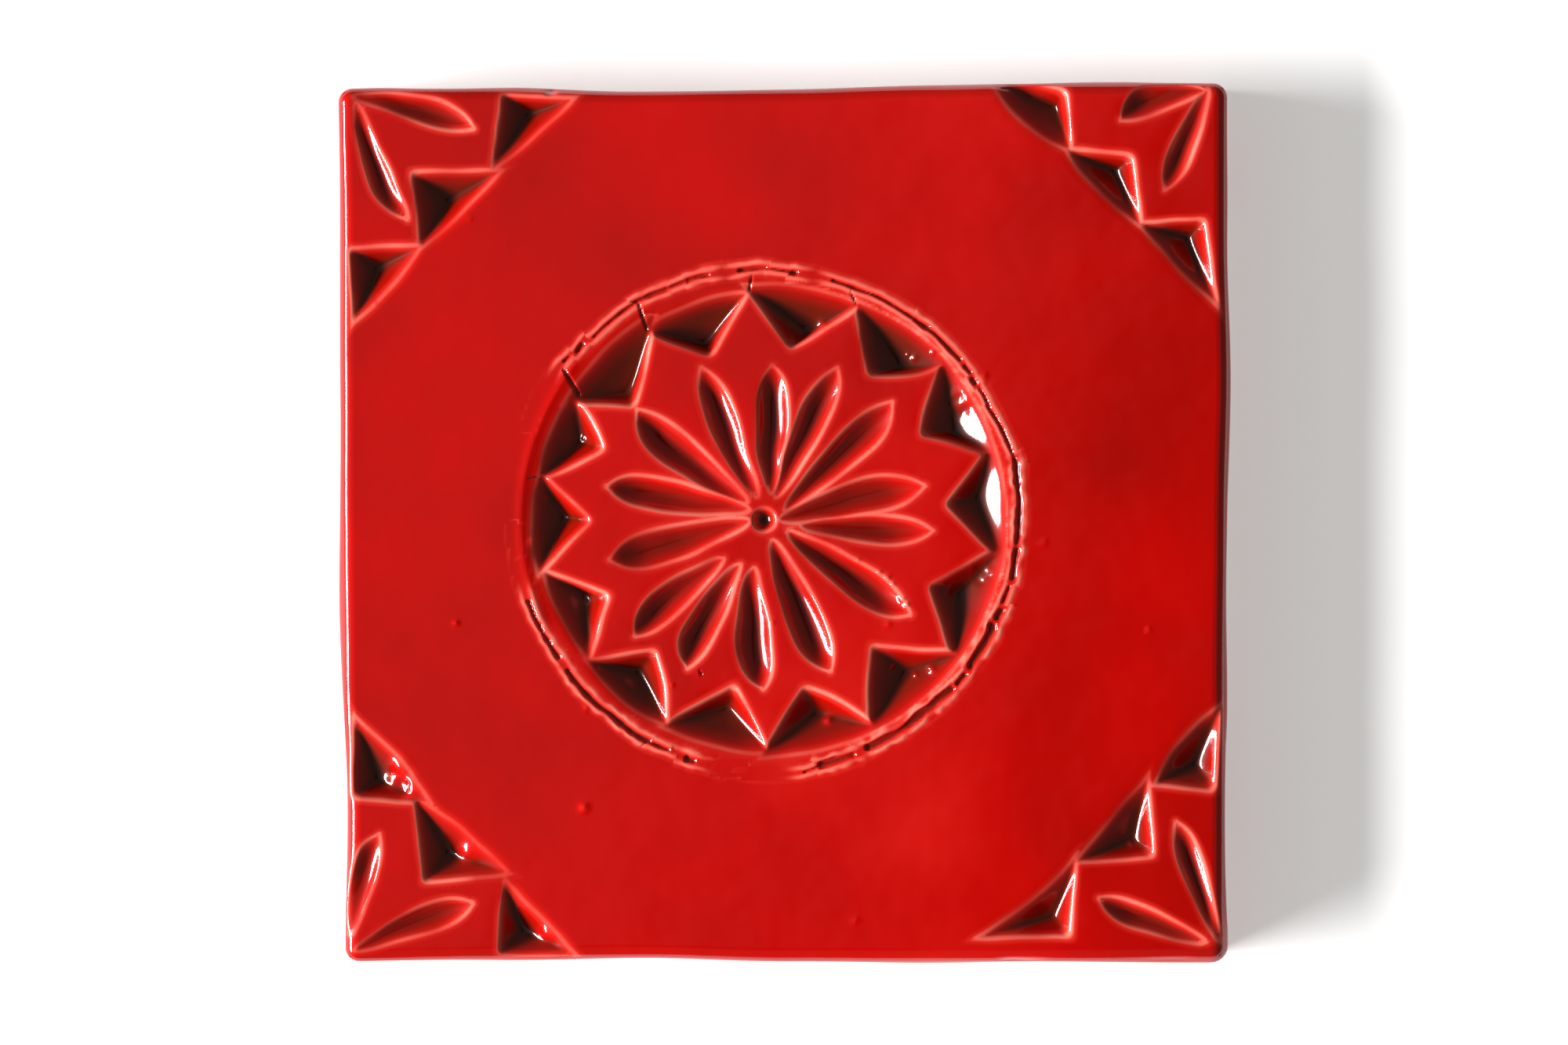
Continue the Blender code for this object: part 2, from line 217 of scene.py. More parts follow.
# Torn line of the compass point: each piece from one angle and radius to another, and its width
RING_CENTRE = np.array((-1.94, 0.4))
RING_RADIUS = 28.3
RING_CUTS = [
    (354.5, 28.3, 374.0, 28.8, 0.55),
    (374.0, 28.8, 387.0, 28.1, 0.18),
    (346.8, 28.5, 353.1, 28.35, 0.65),
    (340.7, 28.2, 344.3, 28.4, 0.25),
    (337.2, 28.4, 338.6, 28.4, 0.65),
    (324.6, 28.3, 334.0, 28.3, 0.85),
    (319.4, 28.4, 321.7, 28.4, 0.55),
    (313.7, 28.2, 317.3, 28.4, 0.75),
    (294.0, 28.15, 312.5, 28.2, 0.75),
    (282.5, 28.4, 290.1, 28.35, 0.7),
    (278.6, 28.8, 282.5, 28.4, 0.18),
    (251.8, 28.5, 253.2, 28.5, 0.6),
    (242.0, 28.35, 247.0, 28.3, 0.3),
    (217.3, 28.2, 242.0, 28.3, 0.5),
    (199.1, 28.4, 213.6, 28.2, 0.35),
    (140.4, 28.8, 142.0, 28.9, 0.35),
    (136.7, 28.6, 138.5, 28.5, 0.5),
    (121.9, 28.5, 133.4, 28.3, 0.2),
    (113.6, 28.4, 121.3, 28.6, 0.42),
    (108.2, 28.3, 113.6, 28.4, 0.2),
    (103.4, 28.3, 108.2, 28.3, 0.45),
    (90.1, 28.3, 96.2, 28.2, 0.38),
    (83.6, 28.0, 90.1, 28.2, 0.2),
    (83.3, 27.9, 84.0, 27.9, 0.5),
    (54.0, 28.1, 74.5, 27.9, 0.25),
    (50.1, 28.2, 53.3, 28.1, 0.42),
    (39.5, 28.25, 50.1, 28.2, 0.33),
    (35.7, 28.3, 37.6, 28.2, 0.3),
    (33.2, 28.1, 34.2, 28.1, 0.5),
    (18.0, 28.5, 31.2, 28.15, 0.16),
]
RING_DEPTH = 0.3
# It is worked out only this near to its circle
RING_REACH = 2.0
# The torn line's sides are steep over this width, then softened by this radius
TORN_WALL = 0.12
TORN_BLUR = 0.06
# How ragged the line is for its width, over what length (mm), and how much wider it tears
TORN_LENGTH = 0.4
TORN_RAGGED = 0.25
TORN_EXTRA = 0.06
# Lips beside the line: height, distance from it, half width, how far they run on past its ends, and
# their usual, least and greatest strength
LIP_HEIGHT = 0.07
LIP_AWAY = 0.3
LIP_HALF = 0.27
LIP_RUN = 1.3
LIP_USUAL = 0.9
LIP_RANGE = (0.2, 1.5)
# Where there is no torn line, a low swell runs along it: angles, radius, height, half width and the
# degrees over which it dies away
RING_SWELL = (143.0, 203.0, 27.75, 0.2, 0.5, 3)

# Beads of glaze, crumbs of clay and, below zero, a nick in the top edge: place, radius and height
BEADS = [
    (-37.0, -11.3, 0.35, 0.12), (-22.6, -32.1, 0.6, 0.16), (41.1, -12.1, 0.35, 0.08),
    (29.3, -2.2, 0.4, 0.05), (8.0, -44.9, 0.4, 0.06), (-35.5, 34.3, 0.5, 0.06),
    (-46.2, 24.7, 0.3, 0.1), (-22.3, -20.9, 0.35, 0.08), (11.7, -11.4, 0.4, 0.07),
    (-12.6, -18.3, 0.25, 0.06), (-1.3, -11.3, 0.25, 0.06), (-9.6, -16.9, 0.4, 0.06),
    (4.4, 22.4, 0.6, 0.25), (14.7, 18.6, 0.4, 0.18), (14.0, 19.0, 0.25, 0.1),
    (16.8, 19.2, 0.3, 0.15), (5.0, -22.3, 0.6, 0.32), (16.7, -16.6, 0.5, 0.3),
    (14.9, -17.2, 0.3, 0.2), (12.2, -16.3, 0.35, 0.25), (-27.0, 2.8, 0.25, 0.12),
    (-22.7, 9.5, 0.25, 0.12), (-22.4, -9.0, 0.25, 0.12), (-21.2, -8.0, 0.3, 0.15),
    (-20.7, -16.4, 0.25, 0.1), (-12.8, -25.5, 0.3, 0.15), (39.2, -36.2, 0.35, 0.15),
    (-42.1, -30.4, 0.75, 0.35), (-44.1, -29.3, 0.9, 0.32), (-43.4, -27.6, 1.0, 0.33),
    (-35.8, -37.4, 1.1, 0.45), (-26.9, -46.5, 0.9, 0.42), (-26.3, 48.9, 0.6, -0.6),
    (8.3, -4.3, 0.35, 0.12), (10.7, -5.7, 0.35, 0.15), (11.6, -6.3, 0.4, 0.15),
    (12.2, -7.0, 0.35, 0.12), (13.3, -8.7, 0.35, 0.18), (13.8, -9.3, 0.35, 0.18),
]
BEAD_SHARPNESS = 1.2
# Places where the tool chattered: place, radius and height
CHATTER = [
    (19.6, 13.5, 1.8, 0.05), (22.3, -5.8, 1.2, 0.07), (18.8, -7.3, 1.0, 0.05),
    (-42.5, -29.6, 1.5, 0.06), (-27.9, -2.5, 1.2, 0.04), (22.5, 15.8, 1.0, 0.05),
]
CHATTER_LENGTH = 0.4

# Smooth random waves, each with its size and length (mm): of the cuts' edges, of the compass
# line's radius, of the clay's height and of the glaze's depth
HAND_WAVES = [(0.06, 1.3), (0.11, 4.0)]
LINE_WAVES = [(0.05, 0.9)]
CLAY_WAVES = [(0.06, 9.0), (0.012, 2.0)]
GLAZE_WAVES = [(0.012, 3.0), (0.028, 8.0)]

# The fired face is the cut clay blurred by a small radius. Valleys fill by a share of what a wider
# blur lifts them, all of it leans towards a broad blur, and dull edges go most of the way to theirs
CRISP_BLUR = 0.22
FILL_BLUR = 0.7
FILL_SHARE = 0.35
BROAD_BLUR = 1.3
BROAD_SHARE = 0.1
DULL_SPREAD = 0.4
DULL_BLUR = 0.65
DULL_SHARE = 0.85

# Glaze depth on the open field, and what is added to it where the clay bends up or down between two
# blurs, and in the torn line, where it is partly painted shade. Painted shade darkens the field towards
# the left and the right side
FIELD_GLAZE = 0.35
BEND_GLAZE = 0.4
BEND_MOST = 0.5
BEND_BLURS = (0.5, 0.16)
LINE_GLAZE_AND_SHADE = 0.35
LINE_GLAZE_AND_SHADE_BLUR = 0.08
LEFT_PAINTED_SHADE = 0.09
RIGHT_PAINTED_SHADE = 0.11
HALF_SIDE = 50
# What is taken off it on the lips, and on beads by their height up to a limit
LIP_THINNING = 0.28
BEAD_THINNING = 1.2
BEAD_LIMIT = 0.2
# Radius over which the gathered glaze, with its painted shade, evens out
POOL_AND_SHADE_BLUR = 0.2
# Strength of the thin glaze along the cuts' edges: usual, spread, length of its waves, least and
# greatest, and the share that a dull edge takes off it
THIN_USUAL = 0.85
THIN_SPREAD = 0.3
THIN_LENGTH = 1.5
THIN_RANGE = (0.3, 1.4)
THIN_DULLED = 0.75
LIP_BAND = 0.6

# Glaze colour by its depth, from none at 0 to the deepest pools at 1. Its dark end is partly painted
# shade in the cuts
GLAZE_AND_SHADE_STOPS = [
    (0.00, (0.80, 0.16, 0.10)),
    (0.12, (0.72, 0.030, 0.018)),
    (0.25, (0.60, 0.006, 0.003)),
    (0.35, (0.50, 0.0015, 0.0006)),
    (0.50, (0.34, 0.002, 0.0006)),
    (0.75, (0.13, 0.005, 0.001)),
    (1.00, (0.045, 0.006, 0.001)),
]
# Mottling of the glaze's depth: scale and strength
MOTTLE = (90.0, 0.12)
# Where the glaze thins over a cut's edge: it fades from one distance to a nearer one (mm), its
# strength and its colour. It is measured from just outside the edge
EDGE_BREAKS = [
    (0.9, 0.1, 0.6, (0.82, 0.035, 0.022)),
    (0.38, 0.04, 0.7, (0.90, 0.19, 0.14)),
]
EDGE_OUTSIDE = 0.05
# Bare clay: its speckle's scale and detail, and its colours
CLAY_SPECKLE = (900.0, 4.0)
CLAY_STOPS = [
    (0.3, (0.52, 0.36, 0.24)),
    (0.7, (0.68, 0.52, 0.38)),
]
# Gloss of the glaze, and how much rougher bare clay is
GLAZE_ROUGHNESS = 0.1
CLAY_ROUGHER = 0.8
GLAZE_IOR = 1.52
# Fine unevenness of both: scale and detail, strength, and height in metres
BUMP_SCALE = (260.0, 1.0)
BUMP_STRENGTH = 0.25
BUMP_DISTANCE = 0.0002

# The window, seen from the tile, and the dim room round it
KEY_AZIMUTH = math.radians(190)
KEY_ELEVATION = math.radians(22)
KEY_AWAY = 2.2
KEY_SIZE = (1.6, 0.42)
KEY_ENERGY = 142.0
WALL_LIGHT = (0.14, 0.13, 0.105)
UP = (0.0, 0.0, 1.0)
# The ceiling starts between these shares of the way up, and goes from pale to dark along an axis
CEILING_STARTS = (0.92, 0.98)
CEILING_AXIS = (1.0, -0.45, 0.0)
CEILING_STOPS = [
    (0.49, (0.17,) * 3),
    (0.55, (0.03,) * 3),
]
GLOW_STOPS = [
    (0.80, (0.0,) * 3),
    (0.92, (0.10,) * 3),
    (0.97, (0.45,) * 3),
    (1.0, (1.0,) * 3),
]

# Floor and camera: lengths in metres, the lens and its sensor in millimetres
FLOOR_HALF = 1.5
FLOOR_DROP = 0.0001
FLOOR_GREY = 0.85
FLOOR_ROUGHNESS = 0.9
FLOOR_GLOW = 0.4
CAMERA_HEIGHT = 0.5
CAMERA_NEAREST = 0.01
LENS = 100
SENSOR = 36

rng = np.random.default_rng(SEED)


# Outline of the slab

def sway_at(share, sways):
    """How far a side stands out at shares of its length, eased between the given values."""
    knots = np.array([0.0, *sways, 0.0])
    place = np.clip(share, 0, 1) * (len(knots) - 1)
    index = np.minimum(place.astype(int), len(knots) - 2)
    ease = (1 - np.cos(math.pi * (place - index))) / 2
    return knots[index] * (1 - ease) + knots[index + 1] * ease


def side_frame(index):
    """Start, length, direction and outward normal of the straight line behind one side."""
    start = CORNERS[index]
    run = CORNERS[(index + 1) % 4] - start
    length = math.hypot(*run)
    along = run / length
    return start, length, along, np.array((along[1], -along[0]))


def inside_distance(x, y):
    """How far points lie inside the slab's outline, with its round corners."""
    depths = []
    for index, sways in enumerate(SIDE_SWAY):
        start, length, along, outwards = side_frame(index)
        share = ((x - start[0]) * along[0] + (y - start[1]) * along[1]) / length
        stand = (x - start[0]) * outwards[0] + (y - start[1]) * outwards[1]
        depths.append(sway_at(share, sways) - stand)
    nearest, second = np.sort(np.stack(depths), axis=0)[:2]
    in_corner = second < CORNER_RADIUS
    rounded = CORNER_RADIUS - np.hypot(CORNER_RADIUS - nearest, CORNER_RADIUS - second)
    return np.where(in_corner, rounded, nearest)


def outline_side(index, inset):
    """Even points along one side, from the middle of one round corner to the middle of the next."""
    start, length, along, outwards = side_frame(index)
    before = side_frame(index - 1)[3]
    after = side_frame((index + 1) % 4)[3]
    turn = np.linspace(0.5, 1, CORNER_POINTS)[:, None]
    reach = CORNER_RADIUS - inset
    first_centre = start - CORNER_RADIUS * (before + outwards)
    last_centre = start + along * length - CORNER_RADIUS * (outwards + after)
    first = before * np.cos(turn * math.pi / 2) + outwards * np.sin(turn * math.pi / 2)
    last = outwards * np.sin(turn * math.pi / 2) + after * np.cos(turn * math.pi / 2)
    share = np.linspace(CORNER_RADIUS, length - CORNER_RADIUS, SIDE_POINTS)[:, None] / length
    straight = start + along * share * length + outwards * (sway_at(share, SIDE_SWAY[index]) - inset)
    points = np.concatenate(
        [first_centre + first * reach, straight[1:-1], (last_centre + last * reach)[::-1]]
    )
    walked = np.concatenate([[0], np.cumsum(np.hypot(*np.diff(points, axis=0).T))])
    even = np.linspace(0, walked[-1], STEPS + 1)
    return np.stack([np.interp(even, walked, points[:, 0]), np.interp(even, walked, points[:, 1])], 1)


def face_grid():
    """x and y of the height map's samples, stretched evenly between the slab's four sides."""
    bottom, right, top, left = [outline_side(index, RIM_INSET) for index in range(4)]
    top, left = top[::-1], left[::-1]
    share = np.linspace(0, 1, STEPS + 1)
    across = share[None, :, None]
    up = share[:, None, None]
    sides = (1 - up) * bottom[None] + up * top[None]
    sides = sides + (1 - across) * left[:, None] + across * right[:, None]
    left_corners = (1 - up) * bottom[0] + up * top[0]
    right_corners = (1 - up) * bottom[-1] + up * top[-1]
    corners = (1 - across) * left_corners + across * right_corners
    grid = sides - corners
    return grid[..., 0], grid[..., 1]


X, Y = face_grid()
SPACING = (X[STEPS // 2, -1] - X[STEPS // 2, 0]) / STEPS


# Height map tools

def blurred(values, radius):
    """Gaussian blur of the height map, with its radius in millimetres."""
    turns = np.fft.fftfreq(values.shape[0])[:, None]
    half_turns = np.fft.rfftfreq(values.shape[1])[None, :]
    fall = np.exp(-2 * (math.pi * radius / SPACING) ** 2 * (turns**2 + half_turns**2))
    return np.fft.irfft2(np.fft.rfft2(values) * fall, s=values.shape)


def waviness(length):
    """Smooth random values over the face, spread evenly about zero, with a usual size of one."""
    drawn = blurred(rng.standard_normal(X.shape), length)
    return drawn / drawn.std()


def waved(values, waves):
    """Values over the face with smooth random waves added."""
    for size, length in waves:
        values = values + size * waviness(length)
    return values


def window(points, margin=2.5):
    """The part of the height map round some points."""
    points = np.asarray(points)
    low, high = points.min(0) - margin, points.max(0) + margin
    columns = np.searchsorted(X[STEPS // 2], (low[0], high[0]))
    rows = np.searchsorted(Y[:, STEPS // 2], (low[1], high[1]))
    return slice(*rows), slice(*columns)


def polar(angle, radius):
    return np.array((math.cos(math.radians(angle)), math.sin(math.radians(angle)))) * radius


def beside_line(first, last, deep, bow=0.0):
    """A wall under a straight or bowed edge: distance from it, positive on the deep point's side."""
    length = math.dist(first, last)
    run = np.subtract(last, first) / length
    side = np.sign(run[0] * (deep[1] - first[1]) - run[1] * (deep[0] - first[0]))

    def distance(x, y):
        share = (run[0] * (x - first[0]) + run[1] * (y - first[1])) / length
        inside = np.clip(share, 0, 1)
        straight = side * (run[0] * (y - first[1]) - run[1] * (x - first[0]))
        return straight + 4 * bow * inside * (1 - inside)

    return distance


def within_circle(centre, radius):
    """A wall under a round edge: distance inwards of the circle."""
    return lambda x, y: radius - np.hypot(x - centre[0], y - centre[1])


def soft_least(first, second, reach):
    """The smaller of two distances, rounded off where they meet."""
    near = np.clip(reach - np.abs(first - second), 0, None) / reach
    return np.minimum(first, second) - near**2 * reach / 4


def between_angles(angle, first, last):
    """Degrees by which an angle lies outside an arc, and its share of the way along it."""
    off = (angle - (first + last) / 2 + 180) % 360 - 180
    return np.clip(np.abs(off) - (last - first) / 2, 0, None), np.clip(off / (last - first) + 0.5, 0, 1)


class Carving:
    """The knife's work: depth, distance from the nearest cut's edge, gathered glaze that is partly
    painted shade, and dull edges.

    The distance is positive inside a cut and negative on the land beside it.
    """

    def __init__(self):
        self.depth = np.zeros(X.shape)
        self.edge = np.full(X.shape, NOWHERE_NEAR)
        self.pool = np.zeros(X.shape)
        self.dull = np.zeros(X.shape)
        self.x = waved(X, HAND_WAVES)
        self.y = waved(Y, HAND_WAVES)

    def take(self, where, inside, depth, pooled_and_shaded=1.0):
        depth = np.where(inside > 0, depth, 0)
        self.edge[where] = np.maximum(self.edge[where], inside)
        self.depth[where] = np.maximum(self.depth[where], depth)
        # The gathered glaze is partly real and partly painted shade: the deeper the cut, the darker
        self.pool[where] = np.maximum(self.pool[where], np.clip(depth * pooled_and_shaded / POOL_AND_SHADE_DEPTH, 0, 1))

    def chip(self, walls, deep, depth, around, pooled_and_shaded=1.0):
        """Three walls that slope down from their edges to one deep point, the third's edge dull."""
        where = window(around)
        x, y = self.x[where], self.y[where]
        gaps = np.stack([wall(x, y) for wall in walls])
        full = np.array([wall(*deep) for wall in walls])
        share = np.clip((gaps / full[:, None, None]).min(axis=0), 0, 1)
        mouth = np.minimum(soft_least(gaps[0], gaps[1], NOTCH_REACH), gaps[2])
        self.take(where, mouth, depth * (1 - (1 - share) ** CHIP_SCOOP), pooled_and_shaded)
        at_third = np.clip(np.minimum(gaps[0], gaps[1]) - gaps[2], 0, 1)
        dulled = at_third * np.exp(-((mouth / DULL_REACH) ** 2))
        self.dull[where] = np.maximum(self.dull[where], dulled)

    def petal(self, start, end, left, right):
        """A leaf-shaped cut, widest and deepest past its middle, that runs out at both ends."""
        start, end = np.asarray(start), np.asarray(end)
        where = window([start, end], PETAL_MARGIN)
        length = math.dist(start, end)
        along = (end - start) / length
        x, y = self.x[where] - start[0], self.y[where] - start[1]
        share = (x * along[0] + y * along[1]) / length
        inside = np.clip(share, PETAL_FIRST, 1)
        swell = inside**PETAL_OPENS * (1 - inside**PETAL_CLOSES) / PETAL_WIDEST
        middle, half = (left - right) / 2 * swell, (left + right) / 2 * swell
        across = y * along[0] - x * along[1] - middle
        beyond = np.maximum(-share, share - 1) * length
        gap = np.where(beyond > 0, -np.hypot(beyond, across), half - np.abs(across))
        deepest = np.minimum(2 * half * PETAL_DEPTH_SHARE, PETAL_DEEPEST)
        deepest = deepest * inside**PETAL_EASE_IN * (1 - inside**PETAL_CLOSES) ** PETAL_EASE_OUT
        from_middle = np.clip(np.abs(across) / (half + ALMOST_NOTHING), 0, 1)
        self.take(where, gap, deepest * (1 - from_middle**PETAL_SCOOP), PETAL_POOL_AND_SHADE)

    def hole(self):
        where = window([HOLE])
        out = np.hypot(self.x[where] - HOLE[0], self.y[where] - HOLE[1])
        self.take(where, HOLE_RADIUS - out, HOLE_DEPTH * (1 - (out / HOLE_RADIUS) ** 2))


def carve_face():
    carving = Carving()
    for index, (tip, notch, deep, depth, rim_radius, bows) in enumerate(STAR_CHIPS):
        next_tip = STAR_CHIPS[(index + 1) % len(STAR_CHIPS)][0]
        first, last = HOLE + polar(*tip), HOLE + polar(*next_tip)
        corner, bottom = HOLE + polar(*notch), HOLE + polar(*deep)
        outer = HOLE + polar(deep[0], rim_radius + 1)
        walls = [
            beside_line(first, corner, bottom, bows[0]),
            beside_line(last, corner, bottom, bows[1]),
            within_circle(STAR_RIM_CENTRE, rim_radius),
        ]
        carving.chip(walls, bottom, depth, [first, last, corner, outer])
    for mouth, deep, bow in CORNER_CHIPS:
        walls = [
            beside_line(mouth[0], mouth[1], deep),
            beside_line(mouth[1], mouth[2], deep),
            beside_line(mouth[2], mouth[0], deep, bow),
        ]
        carving.chip(walls, deep, CORNER_CHIP_DEPTH, mouth, CORNER_POOL_AND_SHADE)
    for start, end, left, right in PETALS:
        carving.petal(HOLE + start, HOLE + end, left, right)
    for start, end, left, right in CORNER_PETALS:
        carving.petal(start, end, left, right)
    carving.hole()
    return carving


def torn_line():
    """Distance inwards of the torn line's pieces and of their sides, and how far the lips still run."""
    x, y = X - RING_CENTRE[0], Y - RING_CENTRE[1]
    radius = waved(np.hypot(x, y), LINE_WAVES)
    ragged = waviness(TORN_LENGTH)
    near = np.abs(radius - RING_RADIUS) < RING_REACH
    angle, out, torn = np.degrees(np.arctan2(y, x))[near], radius[near], ragged[near]
    gap, side, lips = np.full((3, *angle.shape), NOWHERE_NEAR)
    for first, first_radius, last, last_radius, width in RING_CUTS:
        beyond, share = between_angles(angle, first, last)
        beyond = np.radians(beyond) * RING_RADIUS
        across = np.abs(out - first_radius - (last_radius - first_radius) * share)
        half = 0.5 * width * (1 + TORN_RAGGED * torn) + TORN_EXTRA
        closer = half - np.hypot(across, beyond) > gap
        gap[closer] = (half - np.hypot(across, beyond))[closer]
        side[closer] = (half - across)[closer]
        ragged_lips = np.clip(LIP_USUAL + torn * width**2, *LIP_RANGE)
        lips[closer] = (np.exp(-((beyond / LIP_RUN) ** 2)) * ragged_lips)[closer]
    maps = np.full((3, *X.shape), NOWHERE_NEAR)
    maps[2] = 0
    maps[:, near] = gap, side, lips
    return maps


def scratches():
    """Distance inwards of the scratches' edges."""
    inside = np.full(X.shape, NOWHERE_NEAR)
    for start, end, width in SCRATCHES:
        where = window([start, end], SCRATCH_MARGIN)
        x, y = X[where] - start[0], Y[where] - start[1]
        run = np.subtract(end, start)
        share = np.clip((x * run[0] + y * run[1]) / (run @ run), 0, 1)
        half = width / 2 * (4 * share * (1 - share) + SCRATCH_BLUNT) ** SCRATCH_TAPER
        away = np.hypot(x - share * run[0], y - share * run[1])
        inside[where] = np.maximum(inside[where], half - away)
    return inside


def ring_swell():
    """A low swell where the compass line isn't torn."""
    x, y = X - RING_CENTRE[0], Y - RING_CENTRE[1]
    first, last, crest, height, half, fade = RING_SWELL
    beyond = between_angles(np.degrees(np.arctan2(y, x)), first, last)[0]
    return height * np.exp(-(((np.hypot(x, y) - crest) / half) ** 2) - (beyond / fade) ** 2)


def small_relief():
    """Beads of glaze, crumbs of clay and the tool's chatter."""
    relief = np.zeros(X.shape)
    for x, y, radius, height in BEADS:
        where = window([(x, y)])
        away = np.hypot(X[where] - x, Y[where] - y) / radius
        relief[where] += height * np.exp(-(away**2) * BEAD_SHARPNESS)
    rough = waviness(CHATTER_LENGTH)
    for x, y, radius, height in CHATTER:
        where = window([(x, y)], 3 * radius)
        away = np.hypot(X[where] - x, Y[where] - y) / radius
        relief[where] += height * rough[where] * np.exp(-(away**4))
    return relief


def edge_drop(inside):
    """How far the rounded edge falls away at a distance inside the outline."""
    left = np.clip(TOP_ROUND - inside, 0, TOP_ROUND)
    return TOP_ROUND - np.sqrt(TOP_ROUND**2 - left**2)


def fired_height(clay, crisp, dull):
    """The clay's height once its valleys have filled a little and its dull edges have softened."""
    filled = np.clip(blurred(clay, FILL_BLUR) - crisp, 0, None)
    height = crisp + FILL_SHARE * filled + BROAD_SHARE * (blurred(clay, BROAD_BLUR) - crisp)
    return height + DULL_SHARE * (blurred(clay, DULL_BLUR) - height) * dull


def glaze_over(clay, crisp, pool, cut, lip, relief):
    """The glaze's depth: more in cuts and valleys, less over edges, lips and beads. What the cuts and the
    torn line add is partly painted shade, and the left and right sides get painted shade.
    """
    bend = blurred(clay, BEND_BLURS[0]) - blurred(clay, BEND_BLURS[1])
    rows, columns = np.gradient(crisp, SPACING)
    # Gathered glaze in the cuts, thinner on steep walls, is partly painted shade on the cuts' walls
    pooled_and_shaded = POOL_AND_SHADE_GLAZE * blurred(pool / (1 + rows**2 + columns**2), POOL_AND_SHADE_BLUR)
    glaze = FIELD_GLAZE + BEND_GLAZE * np.clip(bend, -BEND_MOST, BEND_MOST) + pooled_and_shaded
    # The torn line's added depth darkens it: partly real glaze, partly painted shade
    glaze = glaze + LINE_GLAZE_AND_SHADE * blurred(cut, LINE_GLAZE_AND_SHADE_BLUR) - LIP_THINNING * lip
    glaze = waved(glaze - BEAD_THINNING * np.clip(relief, 0, BEAD_LIMIT), GLAZE_WAVES)
    # Painted shade: the field darkens towards the left and the right side
    return glaze + np.where(X < 0, LEFT_PAINTED_SHADE, RIGHT_PAINTED_SHADE) * (X / HALF_SIDE) ** 2


def thin_glaze(dull, side, lips):
    """How strongly the glaze breaks along the cuts' edges, and along the lips where they run."""
    thin = np.clip(THIN_USUAL + THIN_SPREAD * waviness(THIN_LENGTH), *THIN_RANGE)
    thin = thin * (1 - THIN_DULLED * dull)
    near_lips = np.abs(side + LIP_AWAY) < LIP_BAND
    thin[near_lips] = lips[near_lips]
    return thin


def glazed_face():
    """Named maps over the face, and the distance inwards of the torn line and the scratches."""
    carving = carve_face()
    torn, side, lips = torn_line()
    groove = np.maximum(torn, scratches())
    clay = waved(ring_swell() - carving.depth, CLAY_WAVES)
    crisp = blurred(clay, CRISP_BLUR)
    dull = blurred(carving.dull, DULL_SPREAD)
    cut = np.clip(groove / TORN_WALL, 0, 1)
    lip = np.exp(-(((side + LIP_AWAY) / LIP_HALF) ** 2)) * lips
    height = fired_height(clay, crisp, dull)
    height = height - blurred(RING_DEPTH * cut * cut * (3 - 2 * cut), TORN_BLUR) + LIP_HEIGHT * lip
    relief = small_relief()
    maps = {
        "height": height + relief - edge_drop(inside_distance(X, Y)),
        "glaze_depth_and_shade": glaze_over(clay, crisp, carving.pool, cut, lip, relief),
        "edge_distance": np.maximum(carving.edge, side + LIP_AWAY),
        "thin_glaze": thin_glaze(dull, side, lips),
    }
    return maps, groove


# Mesh of the face: square cells of the height map, small where it bends and large where it is flat

def wanted_cells(height, edge, groove):
    """The largest cell, in steps, that may lie over each sample."""
    bend = sum(
        np.abs(np.gradient(np.gradient(height, SPACING, axis=a), SPACING, axis=b))
        for a, b in ((0, 0), (1, 1), (0, 1))
    )
    size = np.sqrt(8 * SHAPE_ERROR / (bend + FLATTEST_BEND)) / SPACING
    near_line = np.abs(edge) < LINE_BAND
    size[near_line] = np.minimum(size[near_line], CELL_STEPS[-2])
    size[groove > -LINE_BAND] = CELL_STEPS[-1]
    for rim in (size[:RIM_CELL], size[-RIM_CELL:], size[:, :RIM_CELL], size[:, -RIM_CELL:]):
        rim[...] = RIM_CELL
    return size


def least_in_cells(values, step):
    count = STEPS // step
    return values[:-1, :-1].reshape(count, step, count, step).min(axis=(1, 3))


def any_near(split):
    """Cells that are split or touch one that is."""
    padded = np.pad(split, 1)
    near = np.zeros_like(split)
    for row in range(3):
        for column in range(3):
            near |= padded[row:row + split.shape[0], column:column + split.shape[1]]
    return near


def split_cells(wanted):
    """For each cell size, which cells are split, so that neighbours differ by one size at most."""
    split = {}
    for step in CELL_STEPS[:-1]:
        split[step] = least_in_cells(wanted, step) < step
    for step, finer in reversed(list(zip(CELL_STEPS[:-2], CELL_STEPS[1:-1]))):
        near = any_near(split[finer])
        count = STEPS // step
        split[step] |= near.reshape(count, 2, count, 2).any(axis=(1, 3))
    split[CELL_STEPS[-1]] = np.zeros((STEPS // CELL_STEPS[-1],) * 2, bool)
    return split


def face_polygons(split):
    """Corner indices into the height map: squares, and fans where a neighbour is finer."""
    squares, fans = [], []
    exists = np.ones((STEPS // CELL_STEPS[0],) * 2, bool)
    row_length = STEPS + 1
    for step in CELL_STEPS:
        leaf = exists & ~split[step]
        padded = np.pad(split[step], 1)
        rows, columns = np.nonzero(leaf)
        finer = np.stack([
            padded[rows, columns + 1], padded[rows + 1, columns + 2],
            padded[rows + 2, columns + 1], padded[rows + 1, columns],
        ], 1)
        base = rows * step * row_length + columns * step
        above = base + step * row_length
        corners = np.stack([base, base + step, above + step, above], 1)
        plain = ~finer.any(axis=1)
        squares.append(corners[plain])
        for own, sides in zip(corners[~plain], finer[~plain]):
            middle = (own[0] + own[2]) // 2
            ring = []
            for side in range(4):
                ring.append(own[side])
                if sides[side]:
                    ring.append((own[side] + own[(side + 1) % 4]) // 2)
            fans += [(middle, ring[index - 1], ring[index]) for index in range(len(ring))]
        exists = np.repeat(np.repeat(split[step], 2, 0), 2, 1)
    return np.concatenate(squares), np.array(fans)


